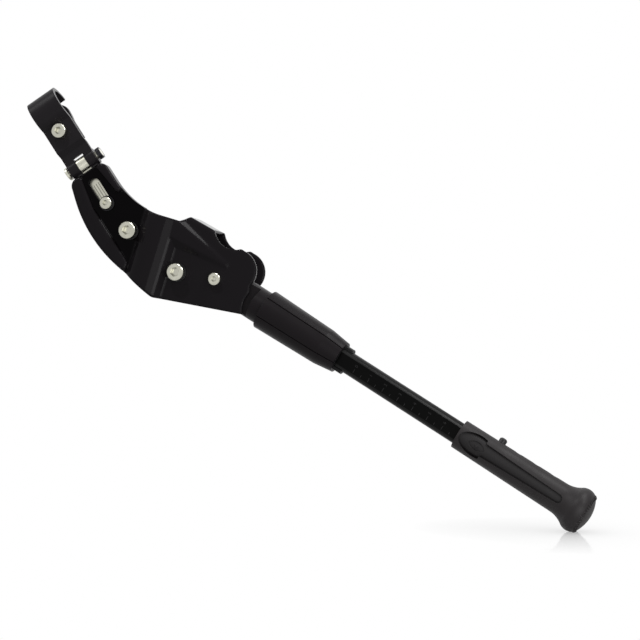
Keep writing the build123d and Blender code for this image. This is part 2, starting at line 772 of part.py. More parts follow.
nodes = {
    "bracket_plate": side * bracket_plate(),
    "frame_pad": side * pad(),
    "clamp_bolts": [side * bolt for bolt in clamp_bolts()],
    "clamp_washers": [side * ring for ring in clamp_washers()],
    "pivot_screw": side * pivot_screw(),
    "pivot_tube": side * pivot_tube(),
    "pivot_nut": side * pivot_nut(),
    "clamp_jaw": side * clamp_jaw(),
    "jaw_pad": side * Rot(180, 0, 0) * pad(),
    "clamp_nuts": [side * nut for nut in clamp_nuts()],
    "slider_arm": side * slider_arm(),
    "slot_screw": side * slot_screw(),
    "slot_washer": side * slot_washer(),
    "slot_nut": side * slot_nut(),
    "hinge_pin": side * hinge_pin(),
    "hinge_cap": side * hinge_cap(),
    "hook_strap": side * hook_strap(),
    "strap_screw": side * strap_screw(),
    "back_jaw": side * back_jaw(),
    "strap_nut": side * strap_nut(),
    "leg_head": leg_head(),
    "leg_tube": leg_tube(),
    "guide_bush": guide_bush(),
    "grub_screw": grub_screw(),
    "detent_plunger": detent_plunger(),
    "detent_spring": detent_spring(),
    "spring_seat": spring_seat(),
    "foot": foot(),
    "lock_button": lock_button(),
    "button_spring": button_spring(),
}

os.makedirs("parts", exist_ok=True)
for name, shape in nodes.items():
    solids = shape if isinstance(shape, list) else [shape]
    export_step(Compound(children=[s for part in solids for s in part.solids()]), f"parts/{name}.step")
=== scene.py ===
import math

import bmesh
import bpy
from mathutils import Matrix, Vector


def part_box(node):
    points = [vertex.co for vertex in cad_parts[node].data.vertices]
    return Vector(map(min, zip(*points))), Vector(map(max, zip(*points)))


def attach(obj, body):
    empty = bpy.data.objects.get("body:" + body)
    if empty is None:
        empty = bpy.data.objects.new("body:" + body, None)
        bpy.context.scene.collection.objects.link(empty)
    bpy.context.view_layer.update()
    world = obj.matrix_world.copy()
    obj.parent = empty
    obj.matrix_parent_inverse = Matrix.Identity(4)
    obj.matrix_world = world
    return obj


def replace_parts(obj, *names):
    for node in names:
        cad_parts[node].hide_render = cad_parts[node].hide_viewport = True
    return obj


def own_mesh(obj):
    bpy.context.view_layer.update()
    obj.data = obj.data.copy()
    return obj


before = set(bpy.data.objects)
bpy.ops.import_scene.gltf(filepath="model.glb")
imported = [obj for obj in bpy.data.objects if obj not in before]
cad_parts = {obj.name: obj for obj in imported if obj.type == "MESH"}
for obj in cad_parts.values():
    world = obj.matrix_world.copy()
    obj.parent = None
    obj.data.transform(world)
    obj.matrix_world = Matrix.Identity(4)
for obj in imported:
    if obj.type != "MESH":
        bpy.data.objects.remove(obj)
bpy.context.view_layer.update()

bl_info = {
    "name": "Bicycle kickstand looks",
    "version": (1, 0, 0),
    "blender": (4, 5, 0),
    "location": "3D View > Sidebar > Kickstand",
    "description": "Finishes and fine detail for a rear-mount bicycle kickstand",
    "category": "Object",
}

MM = 0.001

# Turns a screw that stands along Z so that its head points outboard.
OUTBOARD = Matrix.Rotation(math.radians(90), 4, "X")

# The leg's axis: how far it leans forward and splays outboard, and where it starts.
LEG_LEAN, LEG_SPLAY = math.radians(14.6), math.radians(8)
LEG_START = Vector((-4.9, 1.5, -40.1)) * MM

# Where painted sheen or painted shade starts to change on a piece, and where the change is
# complete.
TRAY_TO_PLATE = (13 * MM, 11 * MM)  # height on the bracket
TRAY_TO_FLANGE = (-9.8 * MM, -11.2 * MM)  # depth on the bracket, outboard is negative
SHAFT_TO_RECESS = (7.9 * MM, 7.6 * MM)  # distance of the foot's skin from the leg's axis
BULB_TO_SHAFT = (240 * MM, 239 * MM)  # distance down the leg
SIDE_TO_FLAT = (5.2 * MM, 5.28 * MM)  # distance of the tube's skin from its middle plane

# The part of a noise texture's range that holds nearly all of its values.
NOISE_SPAN = (0.3, 0.7)

# Socket cap screws, in millimetres: head width and height, socket width, thread width and pitch.
CAP_M6 = (10, 6, 5, 6, 1.0)
CAP_M5 = (8.5, 5, 4, 5, 0.8)
CAP_M4 = (7.2, 3.6, 3, 4, 0.7)
SHORT_THREAD = 6 * MM

# The camera's place, and its right, up and forward directions.
EYE = Vector((0.02333, -0.81178, -0.21430))
RIGHT = Vector((0.2895, 0.1392, -0.9470))
UP = Vector((0.9563, 0, 0.2924))
VIEW = Vector((-0.0407, 0.9903, 0.1331))
FOCAL_LENGTH, SENSOR_WIDTH, NEAREST = 78.75, 36.0, 0.01

# The lamps stand round one point, each at this distance from it. Each row gives a lamp's name,
# its direction to the right, upwards and towards the camera, its side in metres, and its share
# of the lamp power.
LAMP_CENTRE, LAMP_DISTANCE = Vector((0.0, -0.01, -0.05)), 0.92
LAMPS = (
    ("key_lamp", (-0.27, 0.82, 0.49), 0.05, 0.7),
    ("flank_lamp", (0.56, 0.80, 0.18), 0.30, 1.0),
    ("fold_lamp", (0.66, 0.46, 0.60), 0.14, 0.5),
    ("bend_lamp", (0.55, -0.24, 0.80), 0.20, 0.3),
    ("front_lamp", (0.24, -0.10, 0.96), 0.55, 0.8),
    ("hook_lamp", (-0.70, 0.69, 0.17), 0.30, 0.4),
    ("rim_lamp", (0.1, 0.6, -0.6), 0.7, 0.3),
)

# The white room: how strongly it lights the object, and how strongly it is seen.
ROOM_LIGHT, ROOM_SEEN = 0.38, 1.0


def leg_frame():
    """Frame of the leg: Z down its axis from the pivot, X rearward, Y outboard."""
    drop = math.cos(LEG_SPLAY)
    down = Vector((
        -math.sin(LEG_LEAN) * drop, -math.sin(LEG_SPLAY), -math.cos(LEG_LEAN) * drop))
    rear = Vector((math.cos(LEG_LEAN), 0, -math.sin(LEG_LEAN)))
    turn = Matrix((rear, down.cross(rear), down)).transposed().to_4x4()
    return Matrix.Translation(LEG_START) @ turn


def linear(hex_colour):
    """Linear colour from an sRGB hex value such as #1a2b3c."""
    parts = [int(hex_colour[i:i + 2], 16) / 255 for i in (1, 3, 5)]
    return [p / 12.92 if p <= 0.04045 else ((p + 0.055) / 1.055) ** 2.4 for p in parts]


def tone(colour, share=1.0):
    """Colour for a socket, at a share of its brightness."""
    return (*[part * share for part in colour], 1)


def add(tree, kind, settings=None, links=None):
    """Add one node with its settings, and fill or link its inputs by name or number."""
    node = tree.nodes.new(kind)
    for key, value in (settings or {}).items():
        setattr(node, key, value)
    for key, value in (links or {}).items():
        if isinstance(value, bpy.types.NodeSocket):
            tree.links.new(value, node.inputs[key])
        else:
            node.inputs[key].default_value = value
    return node


def bare_material(name):
    """New material with an empty node tree."""
    material = bpy.data.materials.new(name)
    material.use_nodes = True
    material.node_tree.nodes.clear()
    return material, material.node_tree


def fresh_material(name):
    """New material with its surface shader, and the place on the piece in metres."""
    material, tree = bare_material(name)
    shader = add(tree, "ShaderNodeBsdfPrincipled")
    add(tree, "ShaderNodeOutputMaterial", links={"Surface": shader.outputs["BSDF"]})
    place = add(tree, "ShaderNodeTexCoord").outputs["Object"]
    return material, tree, shader, place


def along_leg(tree, place):
    """Place on the piece measured in the leg's own frame."""
    leg = leg_frame()
    turned = add(tree, "ShaderNodeMapping", {"vector_type": "TEXTURE"}, {
        "Vector": place, "Location": leg.to_translation(), "Rotation": leg.to_euler()})
    return turned.outputs["Vector"]


class KickstandFinish(bpy.types.PropertyGroup):
    """Colours of the kickstand's finishes."""

    enamel: bpy.props.FloatVectorProperty(
        name="Tray enamel", description="Gloss black enamel in the pressed bracket's tray",
        subtype="COLOR", size=3, min=0, max=1, default=linear("#030203"))
    # Painted sheen: plate and flange take this lighter tone, though the enamel is the same as in
    # the tray.
    plate: bpy.props.FloatVectorProperty(
        name="Plate enamel", description="The same enamel on the bracket's lower plate and flange",
        subtype="COLOR", size=3, min=0, max=1, default=linear("#151315"))
    rubber: bpy.props.FloatVectorProperty(
        name="Liner rubber", description="Black rubber of the liners round the chainstay",
        subtype="COLOR", size=3, min=0, max=1, default=linear("#161616"))
    strip: bpy.props.FloatVectorProperty(
        name="Strip coat", description="Satin black coat on the hook and its back jaw",
        subtype="COLOR", size=3, min=0, max=1, default=linear("#1a181a"))
    casting: bpy.props.FloatVectorProperty(
        name="Leg casting", description="Satin dark grey paint on the leg's cast head",
        subtype="COLOR", size=3, min=0, max=1, default=linear("#110e10"))
    anodising: bpy.props.FloatVectorProperty(
        name="Tube anodising", description="Black anodising on the round sides of the leg's tube",
        subtype="COLOR", size=3, min=0, max=1, default=linear("#161616"))
    # Painted shade: the flats take this darker tone, though the anodising is the same as on the
    # round sides.
    flats: bpy.props.FloatVectorProperty(
        name="Tube flats", description="Deeper black on the two flats of the leg's tube",
        subtype="COLOR", size=3, min=0, max=1, default=linear("#030303"))
    bush: bpy.props.FloatVectorProperty(
        name="Bush nylon", description="Black nylon of the bush at the sleeve's mouth",
        subtype="COLOR", size=3, min=0, max=1, default=linear("#0d0d0e"))
    marks: bpy.props.FloatVectorProperty(
        name="Height marks", description="Faint print of the height scale on the tube",
        subtype="COLOR", size=3, min=0, max=1, default=linear("#232223"))
    foot: bpy.props.FloatVectorProperty(
        name="Foot plastic", description="Dark grey nylon of the moulded foot",
        subtype="COLOR", size=3, min=0, max=1, default=linear("#171415"))
    # Painted shade: the recess takes this darker tone, though the nylon is the same as on the rest
    # of the foot.
    recess: bpy.props.FloatVectorProperty(
        name="Foot recess", description="Darker tone in the foot's front recess",
        subtype="COLOR", size=3, min=0, max=1, default=linear("#110f10"))
    button: bpy.props.FloatVectorProperty(
        name="Button acetal", description="Black acetal of the foot's push button",
        subtype="COLOR", size=3, min=0, max=1, default=linear("#121112"))
    zinc: bpy.props.FloatVectorProperty(
        name="Zinc plating", description="Bright zinc on screws, pin and arm",
        subtype="COLOR", size=3, min=0, max=1, default=linear("#c0bfb2"))
    oxide: bpy.props.FloatVectorProperty(
        name="Black oxide", description="Blackened steel of washers, cap and grub screw",
        subtype="COLOR", size=3, min=0, max=1, default=linear("#2a2a2c"))
    spring: bpy.props.FloatVectorProperty(
        name="Spring steel", description="Oiled grey steel of the springs",
        subtype="COLOR", size=3, min=0, max=1, default=linear("#77787c"))


class KickstandSizes(bpy.types.PropertyGroup):
    """Sizes of the details and of the stage."""

    peel: bpy.props.FloatProperty(
        name="Orange peel", description="Spacing of the ripple in the enamel",
        unit="LENGTH", default=1.4 * MM, min=0.2 * MM)
    grit: bpy.props.FloatProperty(
        name="Mould grit", description="Grain of the moulded foot, drawn coarse enough to show",
        unit="LENGTH", default=0.5 * MM, min=0.1 * MM)
    teeth: bpy.props.IntProperty(
        name="Sole teeth", description="Number of grip teeth round the sole's rim",
        default=44, min=8)
    tick_pitch: bpy.props.FloatProperty(
        name="Scale pitch", description="Spacing of the height marks on the tube",
        unit="LENGTH", default=5 * MM, min=1 * MM)
    lamp: bpy.props.FloatProperty(
        name="Lamp power", description="Power of the flank lamp; the others take a share of it",
        unit="POWER", default=3.9, min=0)


def gloss_enamel(finish, sizes):
    """Enamel sprayed on pressed steel: deep black in the tray, with painted sheen that makes plate
    and flange lighter.
    """
    cloud_width, edge_radius = 9 * MM, 2.4 * MM
    smoothest, rough_spread = 0.05, 0.08
    ripple_strength, ripple_height = 0.06, 0.05 * MM
    material, tree, shader, place = fresh_material("gloss_black_enamel_on_steel")
    ripple = add(tree, "ShaderNodeTexNoise", links={
        "Vector": place, "Scale": 1 / sizes.peel, "Detail": 2.0})
    cloud = add(tree, "ShaderNodeTexNoise", links={
        "Vector": place, "Scale": 1 / cloud_width, "Detail": 3.0})
    split = add(tree, "ShaderNodeSeparateXYZ", links={"Vector": place})
    # Painted sheen: plate and flange take the lighter plate tone by their height and depth.
    lower = add(tree, "ShaderNodeMapRange", links={
        "Value": split.outputs["Z"], "From Min": TRAY_TO_PLATE[0], "From Max": TRAY_TO_PLATE[1]})
    raised = add(tree, "ShaderNodeMapRange", links={
        "Value": split.outputs["Y"], "From Min": TRAY_TO_FLANGE[0], "From Max": TRAY_TO_FLANGE[1]})
    painted_sheen_mask = add(tree, "ShaderNodeMath", {"operation": "MAXIMUM"}, {
        0: lower.outputs["Result"], 1: raised.outputs["Result"]})
    rough = add(tree, "ShaderNodeMath", {"operation": "MULTIPLY_ADD"}, {
        0: cloud.outputs["Fac"], 1: rough_spread, 2: smoothest})
    soft = add(tree, "ShaderNodeBevel", {"samples": 16}, {"Radius": edge_radius})
    bump = add(tree, "ShaderNodeBump", links={
        "Height": ripple.outputs["Fac"], "Strength": ripple_strength, "Distance": ripple_height,
        "Normal": soft.outputs["Normal"]})
    tint = add(tree, "ShaderNodeMix", {"data_type": "RGBA"}, {
        "Factor": painted_sheen_mask.outputs["Value"], "A": tone(finish.enamel), "B": tone(finish.plate)})
    tree.links.new(tint.outputs["Result"], shader.inputs["Base Color"])
    tree.links.new(rough.outputs["Value"], shader.inputs["Roughness"])
    tree.links.new(bump.outputs["Normal"], shader.inputs["Normal"])
    # Far below a real enamel's level, or the white room would turn the black grey.
    shader.inputs["Specular IOR Level"].default_value = 0.035
    return material


def recess_mask(tree, place):
    """One on the foot's front recess, where painted shade goes; the recess lies nearer the leg's
    axis than the shaft around it.
    """
    local = along_leg(tree, place)
    across = add(tree, "ShaderNodeVectorMath", {"operation": "MULTIPLY"}, {0: local, 1: (1, 1, 0)})
    reach = add(tree, "ShaderNodeVectorMath", {"operation": "LENGTH"}, {
        0: across.outputs["Vector"]})
    low = add(tree, "ShaderNodeMapRange", links={
        "Value": reach.outputs["Value"],
        "From Min": SHAFT_TO_RECESS[0], "From Max": SHAFT_TO_RECESS[1]})
    depth = add(tree, "ShaderNodeSeparateXYZ", links={"Vector": local}).outputs["Z"]
    shaft = add(tree, "ShaderNodeMapRange", links={
        "Value": depth, "From Min": BULB_TO_SHAFT[0], "From Max": BULB_TO_SHAFT[1]})
    both = add(tree, "ShaderNodeMath", {"operation": "MULTIPLY"}, {
        0: low.outputs["Result"], 1: shaft.outputs["Result"]})
    return both.outputs["Value"]


def flat_mask(tree, place):
    """One on the tube's two flats, where painted shade goes."""
    local = add(tree, "ShaderNodeSeparateXYZ", links={"Vector": along_leg(tree, place)})
    out = add(tree, "ShaderNodeMath", {"operation": "ABSOLUTE"}, {0: local.outputs["Y"]})
    edge = add(tree, "ShaderNodeMapRange", links={
        "Value": out.outputs["Value"], "From Min": SIDE_TO_FLAT[0], "From Max": SIDE_TO_FLAT[1]})
    return edge.outputs["Result"]


def satin_coat(name, colour, roughs, grain, gloss, shade_mask=None, shade_colour=None):
    """Satin paint or moulded plastic: an even dark tone whose fine grain softens its highlights;
    where a shade mask is given, painted shade darkens part of it.

    The grain is drawn coarser than the real one, so that it shows in the render.
    """
    cloud_width, edge_radius, grain_tint = 12 * MM, 0.4 * MM, 0.25
    grain_strength, grain_height = 0.12, 0.05 * MM
    material, tree, shader, place = fresh_material(name)
    fine = add(tree, "ShaderNodeTexNoise", links={
        "Vector": place, "Scale": 1 / grain, "Detail": 3.0})
    cloud = add(tree, "ShaderNodeTexNoise", links={
        "Vector": place, "Scale": 1 / cloud_width, "Detail": 4.0})
    rough = add(tree, "ShaderNodeMapRange", links={
        "Value": cloud.outputs["Fac"], "From Min": NOISE_SPAN[0], "From Max": NOISE_SPAN[1],
        "To Min": roughs[0], "To Max": roughs[1]})
    tint = add(tree, "ShaderNodeMix", {"data_type": "RGBA"}, {
        "Factor": fine.outputs["Fac"],
        "A": tone(colour, 1 - grain_tint), "B": tone(colour, 1 + grain_tint)})
    # Painted shade: where the mask is one, the piece takes the darker shade colour.
    if shade_mask:
        tint = add(tree, "ShaderNodeMix", {"data_type": "RGBA"}, {
            "Factor": shade_mask(tree, place), "A": tint.outputs["Result"], "B": tone(shade_colour)})
    soft = add(tree, "ShaderNodeBevel", {"samples": 6}, {"Radius": edge_radius})
    bump = add(tree, "ShaderNodeBump", links={
        "Height": fine.outputs["Fac"], "Strength": grain_strength, "Distance": grain_height,
        "Normal": soft.outputs["Normal"]})
    tree.links.new(tint.outputs["Result"], shader.inputs["Base Color"])
    tree.links.new(rough.outputs["Result"], shader.inputs["Roughness"])
    tree.links.new(bump.outputs["Normal"], shader.inputs["Normal"])
    shader.inputs["Specular IOR Level"].default_value = gloss
    return material


def plated_steel(name, colour, roughs):
    """Zinc-plated or blackened steel: a soft cloudy metal sheen, with painted shade that darkens it
    in its corners.
    """
    cloud_width, corner_reach = 3 * MM, 1.2 * MM
    cloud_tint, corner_shade = 0.8, 0.2
    material, tree, shader, place = fresh_material(name)
    cloud = add(tree, "ShaderNodeTexNoise", links={
        "Vector": place, "Scale": 1 / cloud_width, "Detail": 5.0})
    rough = add(tree, "ShaderNodeMapRange", links={
        "Value": cloud.outputs["Fac"], "From Min": NOISE_SPAN[0], "From Max": NOISE_SPAN[1],
        "To Min": roughs[0], "To Max": roughs[1]})
    tint = add(tree, "ShaderNodeMix", {"data_type": "RGBA"}, {
        "Factor": cloud.outputs["Fac"], "A": tone(colour, cloud_tint), "B": tone(colour)})
    # Painted shade: the colour darkens towards the corner shade tone where ambient occlusion finds
    # corners.
    corner = add(tree, "ShaderNodeAmbientOcclusion", {"samples": 8}, {"Distance": corner_reach})
    shade = add(tree, "ShaderNodeMix", {"data_type": "RGBA"}, {
        "Factor": corner.outputs["AO"],
        "A": tone(colour, corner_shade), "B": tint.outputs["Result"]})
    tree.links.new(shade.outputs["Result"], shader.inputs["Base Color"])
    tree.links.new(rough.outputs["Result"], shader.inputs["Roughness"])
    shader.inputs["Metallic"].default_value = 1.0
    return material


def dress(material, *names):
    """Give CAD nodes a finish."""
    for name in names:
        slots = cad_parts[name].data.materials
        slots.clear()
        slots.append(material)


def finish_piece(build, name, material, body):
    """Close a bmesh into a piece of the object that rides on a body and takes a material slot."""
    bmesh.ops.remove_doubles(build, verts=build.verts, dist=0.001 * MM)
    bmesh.ops.recalc_face_normals(build, faces=build.faces)
    mesh = bpy.data.meshes.new(name)
    build.to_mesh(mesh)
    build.free()
    mesh.materials.append(material)
    thing = bpy.data.objects.new(name, mesh)
    bpy.context.scene.collection.objects.link(thing)
    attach(thing, body)
    return thing


def join(build, part):
    """Move one bmesh into another."""
    mesh = bpy.data.meshes.new("part")
    part.to_mesh(mesh)
    part.free()
    build.from_mesh(mesh)
    bpy.data.meshes.remove(mesh)


def step(build, loop, size, lift):
    """Extrude a loop of edges, scale it about the axis and lift it; gives the new loop."""
    made = bmesh.ops.extrude_edge_only(build, edges=loop)["geom"]
    verts = [g for g in made if isinstance(g, bmesh.types.BMVert)]
    bmesh.ops.scale(build, vec=(size, size, 1), verts=verts)
    bmesh.ops.translate(build, vec=(0, 0, lift), verts=verts)
    known = set(verts)
    return [g for g in made if isinstance(g, bmesh.types.BMEdge) and known.issuperset(g.verts)]


def cap_screw(size, length, threaded):
    """Socket cap screw along Z, its head on the XY plane: flutes, hexagon socket and thread."""
    head, tall, socket, shank, pitch = [value * MM for value in size]
    flutes, fluting, chamfer = 36, 0.975, 0.4 * MM
    socket_depth, turn_steps = 0.6 * tall, 20
    depth, crest, overlap = 0.55 * pitch, 0.06 * pitch, 0.1 * pitch
    build = bmesh.new()
    rim = bmesh.ops.create_circle(
        build, cap_ends=False, segments=2 * flutes, radius=head / 2)["verts"]
    bmesh.ops.scale(build, vec=(fluting, fluting, 1), verts=rim[::2])
    seat = build.edges[:]
    top = step(build, seat, 1, tall - chamfer)
    top = step(build, top, 1 - 2 * chamfer / head, chamfer)
    sides = step(build, top, 1, 0)
    for vert in {vert for edge in sides for vert in edge.verts}:
        turn = math.atan2(vert.co.y, vert.co.x) % (math.pi / 3) - math.pi / 6
        vert.co.xy = vert.co.xy.normalized() * (socket / 2 / math.cos(turn))
    bmesh.ops.edgeloop_fill(build, edges=step(build, sides, 1, -socket_depth))
    root = shank / 2 - depth
    tip = step(build, seat, 2 * root / head, 0)
    tip = step(build, tip, 1, chamfer - length)
    bmesh.ops.edgeloop_fill(build, edges=step(build, tip, 1 - chamfer / root, -chamfer))
    inner, outer, start = root - overlap, shank / 2, threaded - length
    profile = ((inner, -depth), (outer, -crest), (outer, crest), (inner, depth))
    ridge = build.faces.new([build.verts.new((x, 0, start + z)) for x, z in profile])
    turns = threaded / pitch - 1
    steps = int(turns * turn_steps)
    bmesh.ops.spin(
        build, geom=[ridge, *ridge.edges, *ridge.verts], cent=(0, 0, 0), axis=(0, 0, 1),
        dvec=(0, 0, -turns * pitch / steps), angle=2 * math.pi * turns, steps=steps,
        use_merge=False)
    return build


def screw_row(name, node, body, size, threaded, material):
    """Screws in place of a CAD node, one at each end of its box or a single one in its middle when
    the box is narrow, with their heads outboard.
    """
    low, high = [Vector(corner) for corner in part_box(node)]
    radius, tall, runout = size[0] / 2 * MM, size[1] * MM, 0.5 * MM
    length = high.y - low.y - tall
    ends = [(high.x - radius, high.z - radius), (low.x + radius, low.z + radius)]
    single = high.x - low.x < 3 * radius
    if single:
        ends = [((low.x + high.x) / 2, (low.z + high.z) / 2)]
    build = bmesh.new()
    for x, z in ends:
        one = cap_screw(size, length, threaded or length - runout)
        place = Matrix.Translation((x, low.y + tall, z)) @ OUTBOARD
        bmesh.ops.transform(one, verts=one.verts, matrix=place)
        join(build, one)
    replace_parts(finish_piece(build, name, material, body), node)


def bend_leaf(material):
    """Leaf spring, copied from its CAD node into a piece of its own on the leg; the real one
    flattens against the tube's far wall as the button goes in.
    """
    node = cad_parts["button_spring"]
    build = bmesh.new()
    build.from_mesh(node.data)
    bmesh.ops.transform(build, verts=build.verts, matrix=node.matrix_world)
    leaf = finish_piece(build, "leaf_spring", material, "leg")
    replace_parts(leaf, "button_spring")
    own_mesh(leaf)


def numeral(text, place):
    """A plain number as a thin flat mesh."""
    curve = bpy.data.curves.new("numeral", "FONT")
    curve.body, curve.size, curve.extrude = text, 2.6 * MM, 0.02 * MM
    curve.align_x, curve.align_y = "CENTER", "CENTER"
    thing = bpy.data.objects.new("numeral", curve)
    bpy.context.scene.collection.objects.link(thing)
    shaped = thing.evaluated_get(bpy.context.evaluated_depsgraph_get())
    mesh = bpy.data.meshes.new_from_object(shaped)
    build = bmesh.new()
    build.from_mesh(mesh)
    bmesh.ops.transform(build, verts=build.verts, matrix=place)
    bpy.data.objects.remove(thing)
    bpy.data.curves.remove(curve)
    bpy.data.meshes.remove(mesh)
    return build


def scale_marks(pitch):
    """Ticks down the tube's outer flat, every second one longer and with its number."""
    flat, proud, first, last = 5.3 * MM, 0.04 * MM, 100 * MM, 165 * MM
    long_tick, short_tick, line = 2.4 * MM, 1.4 * MM, 0.35 * MM
    tick_edge, number_place = -3.1 * MM, 1.2 * MM
    upright = Matrix.Rotation(math.radians(-90), 4, "X")
    face = leg_frame() @ Matrix.Translation((0, flat, 0)) @ upright
    build = bmesh.new()
    for k in range(int((last - first) / pitch) + 1):
        numbered = k % 2 == 0
        wide = long_tick if numbered else short_tick
        middle = Vector((tick_edge + wide / 2, -first - k * pitch, 0))
        mark = Matrix.Translation(middle) @ Matrix.Diagonal((wide, line, 2 * proud, 1))
        bmesh.ops.create_cube(build, size=1, matrix=face @ mark)
        if numbered:
            place = Matrix.Translation((number_place, middle.y, proud / 2))
            join(build, numeral(str(k // 2), face @ place))
    return build


def rim_teeth(count):
    """Small bevelled bars that stand a little proud of the sole's round edge."""
    edge_centre, edge_radius, lean = Vector((5.93, 0, 246.48)) * MM, 7.07 * MM, math.radians(42)
    tooth, bevel = Matrix.Diagonal((0.6 * MM, 0.75 * MM, 2 * MM, 1)), 0.2 * MM
    build = bmesh.new()
    bmesh.ops.create_cube(build, size=1, matrix=tooth)
    bmesh.ops.bevel(
        build, geom=build.edges[:], offset=bevel, affect="EDGES", segments=1, profile=0.5,
        material=-1)
    middle = edge_centre + Vector((math.cos(lean), 0, math.sin(lean))) * edge_radius
    turned = Matrix.Translation(middle) @ Matrix.Rotation(-lean, 4, "Y")
    bmesh.ops.transform(build, verts=build.verts, matrix=turned)
    bmesh.ops.spin(
        build, geom=[*build.verts, *build.edges, *build.faces], cent=(0, 0, 0), axis=(0, 0, 1),
        dvec=(0, 0, 0), angle=2 * math.pi * (1 - 1 / count), steps=count - 1, use_merge=False,
        use_duplicate=True)
    bmesh.ops.transform(build, verts=build.verts, matrix=leg_frame())
    return build


def place_camera(scene):
    """Camera at the photograph's viewing angle."""
    lens = bpy.data.cameras.new("photo_camera")
    lens.lens, lens.sensor_width, lens.clip_start = FOCAL_LENGTH, SENSOR_WIDTH, NEAREST
    camera = bpy.data.objects.new("photo_camera", lens)
    turn = Matrix((RIGHT, UP, -VIEW)).transposed().to_4x4()
    camera.matrix_world = Matrix.Translation(EYE) @ turn
    scene.collection.objects.link(camera)
    scene.camera = camera


def hang_lamps(scene):
    """Soft square lamps, each turned to the object."""
    for name, (across, above, before), size, share in LAMPS:
        toward = (RIGHT * across + UP * above - VIEW * before) * LAMP_DISTANCE
        turn = toward.to_track_quat("Z", "Y").to_matrix().to_4x4()
        data = bpy.data.lights.new(name, "AREA")
        data.shape, data.size = "SQUARE", size
        data.energy = scene.kickstand_sizes.lamp * share
        lamp = bpy.data.objects.new(name, data)
        lamp.matrix_world = Matrix.Translation(LAMP_CENTRE + toward) @ turn
        scene.collection.objects.link(lamp)


def seen_straight(tree):
    """One for what the camera sees, directly or in metal and glass."""
    path = add(tree, "ShaderNodeLightPath")
    seen = add(tree, "ShaderNodeMath", {"operation": "MAXIMUM"}, {
        0: path.outputs["Is Camera Ray"], 1: path.outputs["Is Glossy Ray"]})
    through = add(tree, "ShaderNodeMath", {"operation": "MAXIMUM"}, {
        0: seen.outputs["Value"], 1: path.outputs["Is Transmission Ray"]})
    return through.outputs["Value"]


def light_room(scene):
    """White room round the object, which lights it less than it shows."""
    world = bpy.data.worlds.new("white_room")
    world.use_nodes = True
    tree = world.node_tree
    tree.nodes.clear()
    strength = add(tree, "ShaderNodeMapRange", links={
        "Value": seen_straight(tree), "To Min": ROOM_LIGHT, "To Max": ROOM_SEEN})
    sky = add(tree, "ShaderNodeBackground", links={
        "Color": (1, 1, 1, 1), "Strength": strength.outputs["Result"]})
    add(tree, "ShaderNodeOutputWorld", links={"Surface": sky.outputs["Background"]})
    scene.world = world


def paper_floor(contact):
    """White paper: shows the white room, with a painted shadow darker near the object, faintly
    shiny where it touches.
    """
    shade_reach, darkest = 0.05, 0.55
    shine, shine_start, shine_end, roughness = 0.3, 0.01, 0.075, 0.08
    material, tree = bare_material("white_paper_floor")
    # Painted shadow: the sheet lets less of the white room through where ambient occlusion finds
    # the object.
    near = add(tree, "ShaderNodeAmbientOcclusion", {"samples": 16}, {"Distance": shade_reach})
    facing = add(tree, "ShaderNodeNewGeometry")
    clear = add(tree, "ShaderNodeMath", {"operation": "MAXIMUM"}, {
        0: near.outputs["AO"], 1: facing.outputs["Backfacing"]})
    shade = add(tree, "ShaderNodeMapRange", links={
        "Value": clear.outputs["Value"], "To Min": darkest, "To Max": 1.0})
    glass = add(tree, "ShaderNodeBsdfTransparent", links={"Color": shade.outputs["Result"]})
    away = add(tree, "ShaderNodeVectorMath", {"operation": "DISTANCE"}, {
        0: facing.outputs["Position"], 1: contact})
    fade = add(tree, "ShaderNodeMapRange", links={
        "Value": away.outputs["Value"], "From Min": shine_start, "From Max": shine_end,
        "To Min": shine, "To Max": 0.0})
    front = add(tree, "ShaderNodeMath", {"operation": "SUBTRACT", "use_clamp": True}, {
        0: fade.outputs["Result"], 1: facing.outputs["Backfacing"]})
    polish = add(tree, "ShaderNodeBsdfGlossy", links={
        "Color": (1, 1, 1, 1), "Roughness": roughness})
    mix = add(tree, "ShaderNodeMixShader", links={
        0: front.outputs["Value"], 1: glass.outputs["BSDF"], 2: polish.outputs["BSDF"]})
    add(tree, "ShaderNodeOutputMaterial", links={"Surface": mix.outputs["Shader"]})
    return material


def lay_floor(scene):
    """Small level sheet, as the camera sees level, under the foot's lowest point."""
    half_width = 0.3
    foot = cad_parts["foot"]
    contact = min((foot.matrix_world @ vert.co for vert in foot.data.vertices), key=UP.dot)
    level = Matrix((RIGHT, VIEW, UP)).transposed().to_4x4()
    mesh = bpy.data.meshes.new("floor")
    build = bmesh.new()
    bmesh.ops.create_grid(build, x_segments=1, y_segments=1, size=half_width)
    bmesh.ops.transform(build, verts=build.verts, matrix=Matrix.Translation(contact) @ level)
    build.to_mesh(mesh)
    build.free()
    mesh.materials.append(paper_floor(contact))
    floor = bpy.data.objects.new("floor", mesh)
    scene.collection.objects.link(floor)


class KICKSTAND_OT_bracket(bpy.types.Operator):
    """Finish the pressed bracket, its jaw and liners"""

    bl_idname = "kickstand.bracket"
    bl_label = "Bracket"

    def execute(self, context):
        finish, sizes = context.scene.kickstand_finish, context.scene.kickstand_sizes
        dress(gloss_enamel(finish, sizes), "bracket_plate", "clamp_jaw")
        # Moulded rubber is dull all over, with no clear highlight.
        rubber = satin_coat(
            "moulded_black_rubber", finish.rubber, roughs=(0.7, 0.85), grain=0.6 * MM, gloss=0.3)
        dress(rubber, "frame_pad", "jaw_pad")
        return {"FINISHED"}


class KICKSTAND_OT_hook(bpy.types.Operator):
    """Finish the seatstay hook and its back jaw"""

    bl_idname = "kickstand.hook"
    bl_label = "Seatstay hook"

    def execute(self, context):
        finish = context.scene.kickstand_finish
        # Sprayed strip steel shows a soft light band where it curls.
        coat = satin_coat(
            "satin_black_coat_on_strip", finish.strip, roughs=(0.25, 0.35), grain=0.4 * MM,
            gloss=0.06)
        dress(coat, "hook_strap", "back_jaw")
        return {"FINISHED"}


